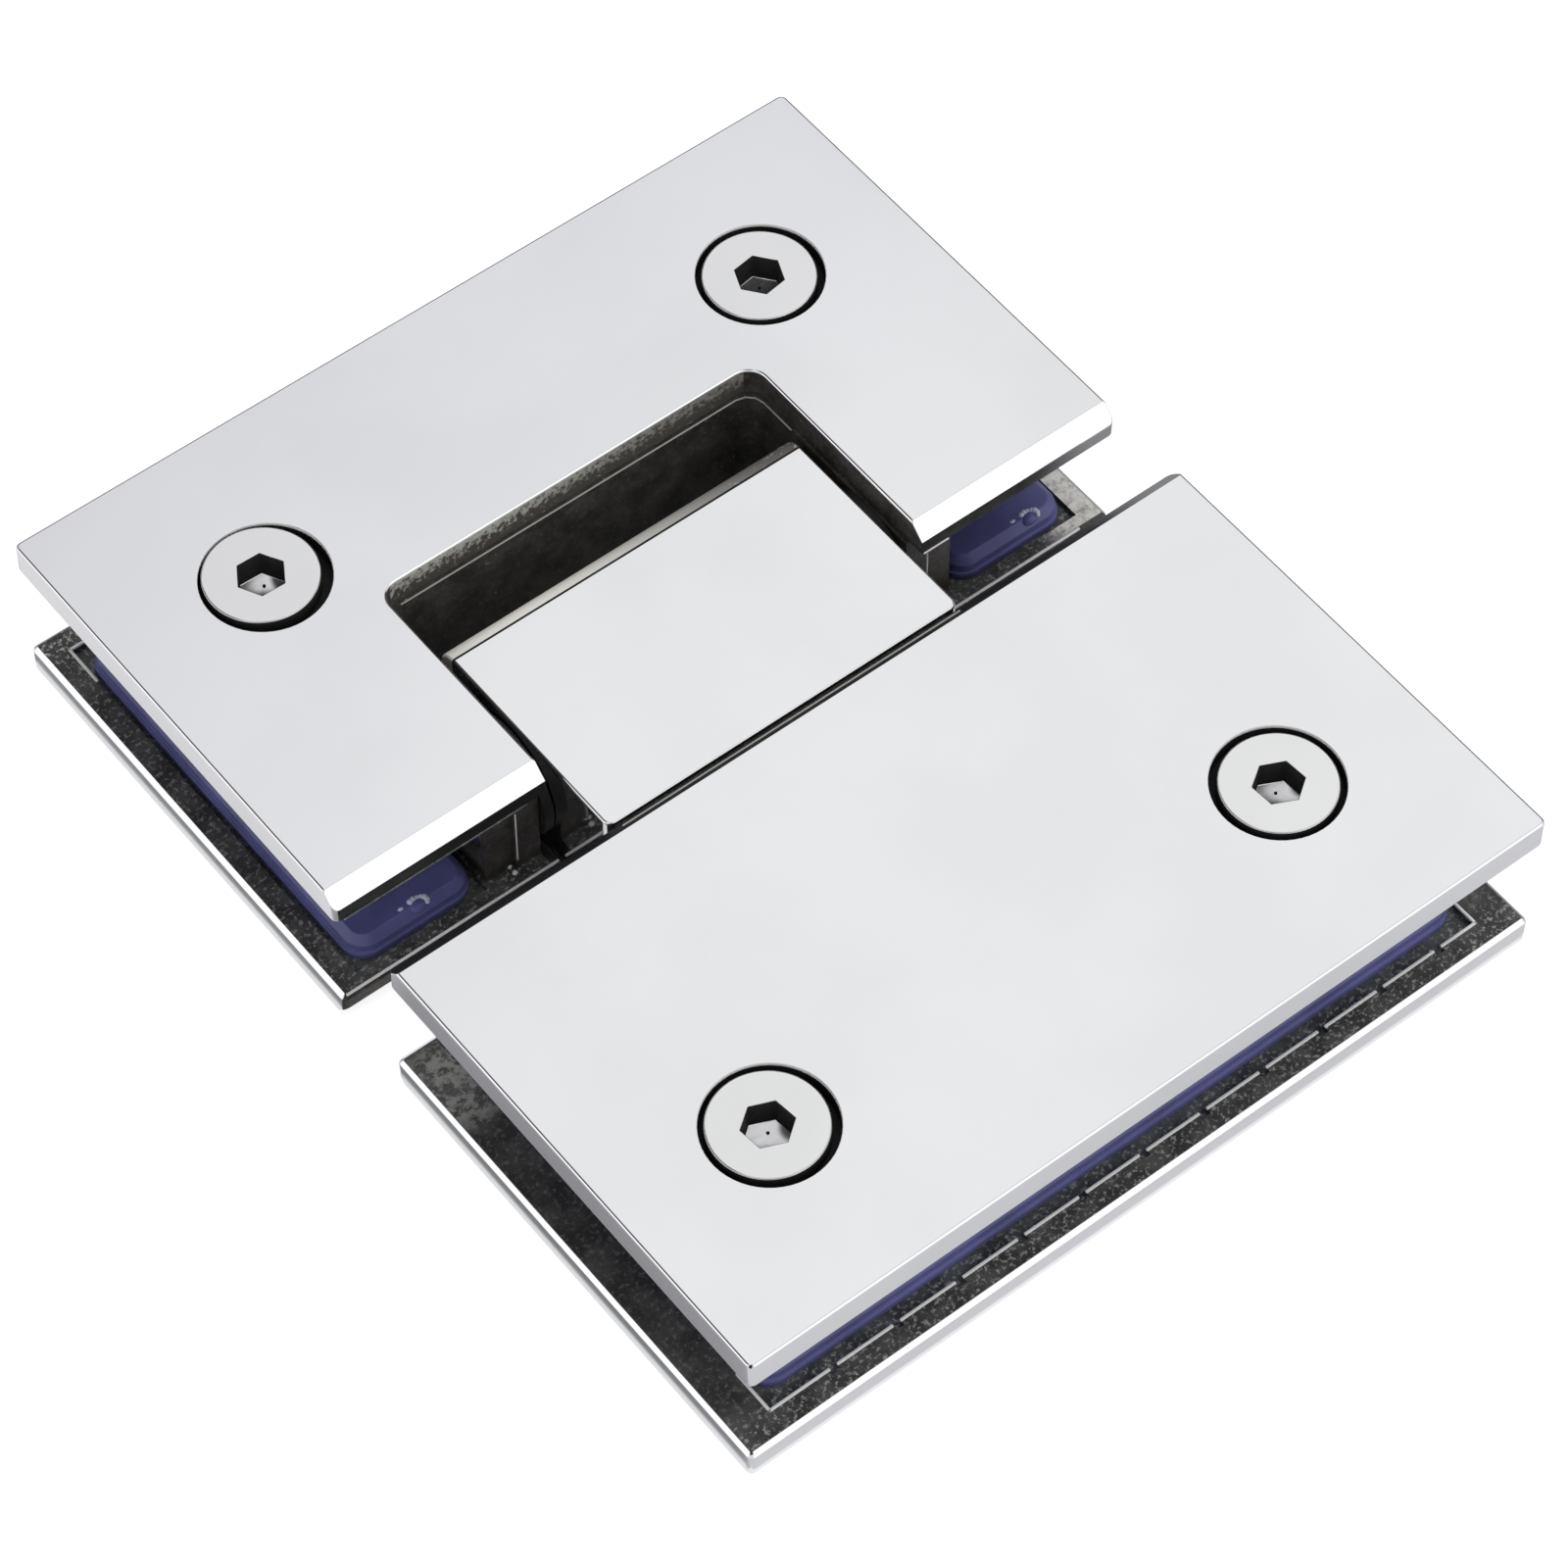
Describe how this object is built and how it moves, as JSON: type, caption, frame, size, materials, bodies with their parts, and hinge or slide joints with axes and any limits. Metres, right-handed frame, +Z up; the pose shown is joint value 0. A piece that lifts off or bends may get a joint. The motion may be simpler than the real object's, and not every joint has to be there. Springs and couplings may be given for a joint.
{
  "type": "glass door hinge",
  "caption": "Polished chrome hinge for frameless glass doors: a notched leaf and a plain leaf clamp the glass and swing about a pin in a central knuckle block.",
  "frame": {"origin": "middle of the underside of the open hinge, below the middle of its overall length and width", "axes": "+X along the pin, +Y from the plain leaf to the notched leaf, +Z up through both leaves, with the hinge lying open and flat on its back plates"},
  "size_m": [0.09, 0.11, 0.019],
  "materials": {
    "polished_chrome": "polished chrome plating on cast brass",
    "knuckle_chrome": "polished chrome plating on cast brass",
    "screw_chrome": "polished chrome plating on steel",
    "gasket_blue": "smooth moulded rubber, deep blue",
    "sleeve_nylon": "natural nylon",
    "washer_nylon": "black nylon",
    "pin_steel": "ground stainless steel",
    "shoe_brass": "machined brass",
    "bush_bronze": "sintered bronze",
    "black_steel": "blackened steel",
    "spring_steel": "spring steel wire"
  },
  "bodies": {
    "plain_leaf": {"plain_back_plate": "polished_chrome", "plain_front_plate": "polished_chrome", "plain_back_gasket": "gasket_blue", "plain_front_gasket": "gasket_blue", "knuckle_block": "knuckle_chrome", "plain_clamp_screw_left": "screw_chrome", "plain_glass_sleeve_left": "sleeve_nylon", "pivot_bush_left": "bush_bronze", "knuckle_fixing_screw_left": "black_steel", "spring_adjusting_screw_left": "black_steel", "detent_spring_left": "spring_steel", "plain_clamp_screw_right": "screw_chrome", "plain_glass_sleeve_right": "sleeve_nylon", "pivot_bush_right": "bush_bronze", "knuckle_fixing_screw_right": "black_steel", "spring_adjusting_screw_right": "black_steel", "detent_spring_right": "spring_steel"},
    "notched_leaf": {"notched_back_plate": "polished_chrome", "notched_front_plate": "polished_chrome", "notched_back_gasket": "gasket_blue", "notched_front_gasket": "gasket_blue", "pivot_pin": "pin_steel", "notched_clamp_screw_left": "screw_chrome", "notched_glass_sleeve_left": "sleeve_nylon", "pin_lock_screw_left": "black_steel", "thrust_washer_left": "washer_nylon", "notched_clamp_screw_right": "screw_chrome", "notched_glass_sleeve_right": "sleeve_nylon", "pin_lock_screw_right": "black_steel", "thrust_washer_right": "washer_nylon"},
    "detent_shoe": {"detent_shoe": "shoe_brass"}
  },
  "joints": [
    {"name": "leaf_hinge", "type": "hinge", "parent": "plain_leaf", "child": "notched_leaf", "pos_m": [0, 0.012, 0.0095], "axis": [1, 0, 0], "range_deg": [-90, 90]},
    {"name": "shoe_slide", "type": "slide", "parent": "plain_leaf", "child": "detent_shoe", "axis": [0, 1, 0], "range_m": [0, 0.00055], "stiffness_N_per_m": 400, "springref_m": 0.00055, "deforming": ["detent_spring_left", "detent_spring_right"]}
  ]
}
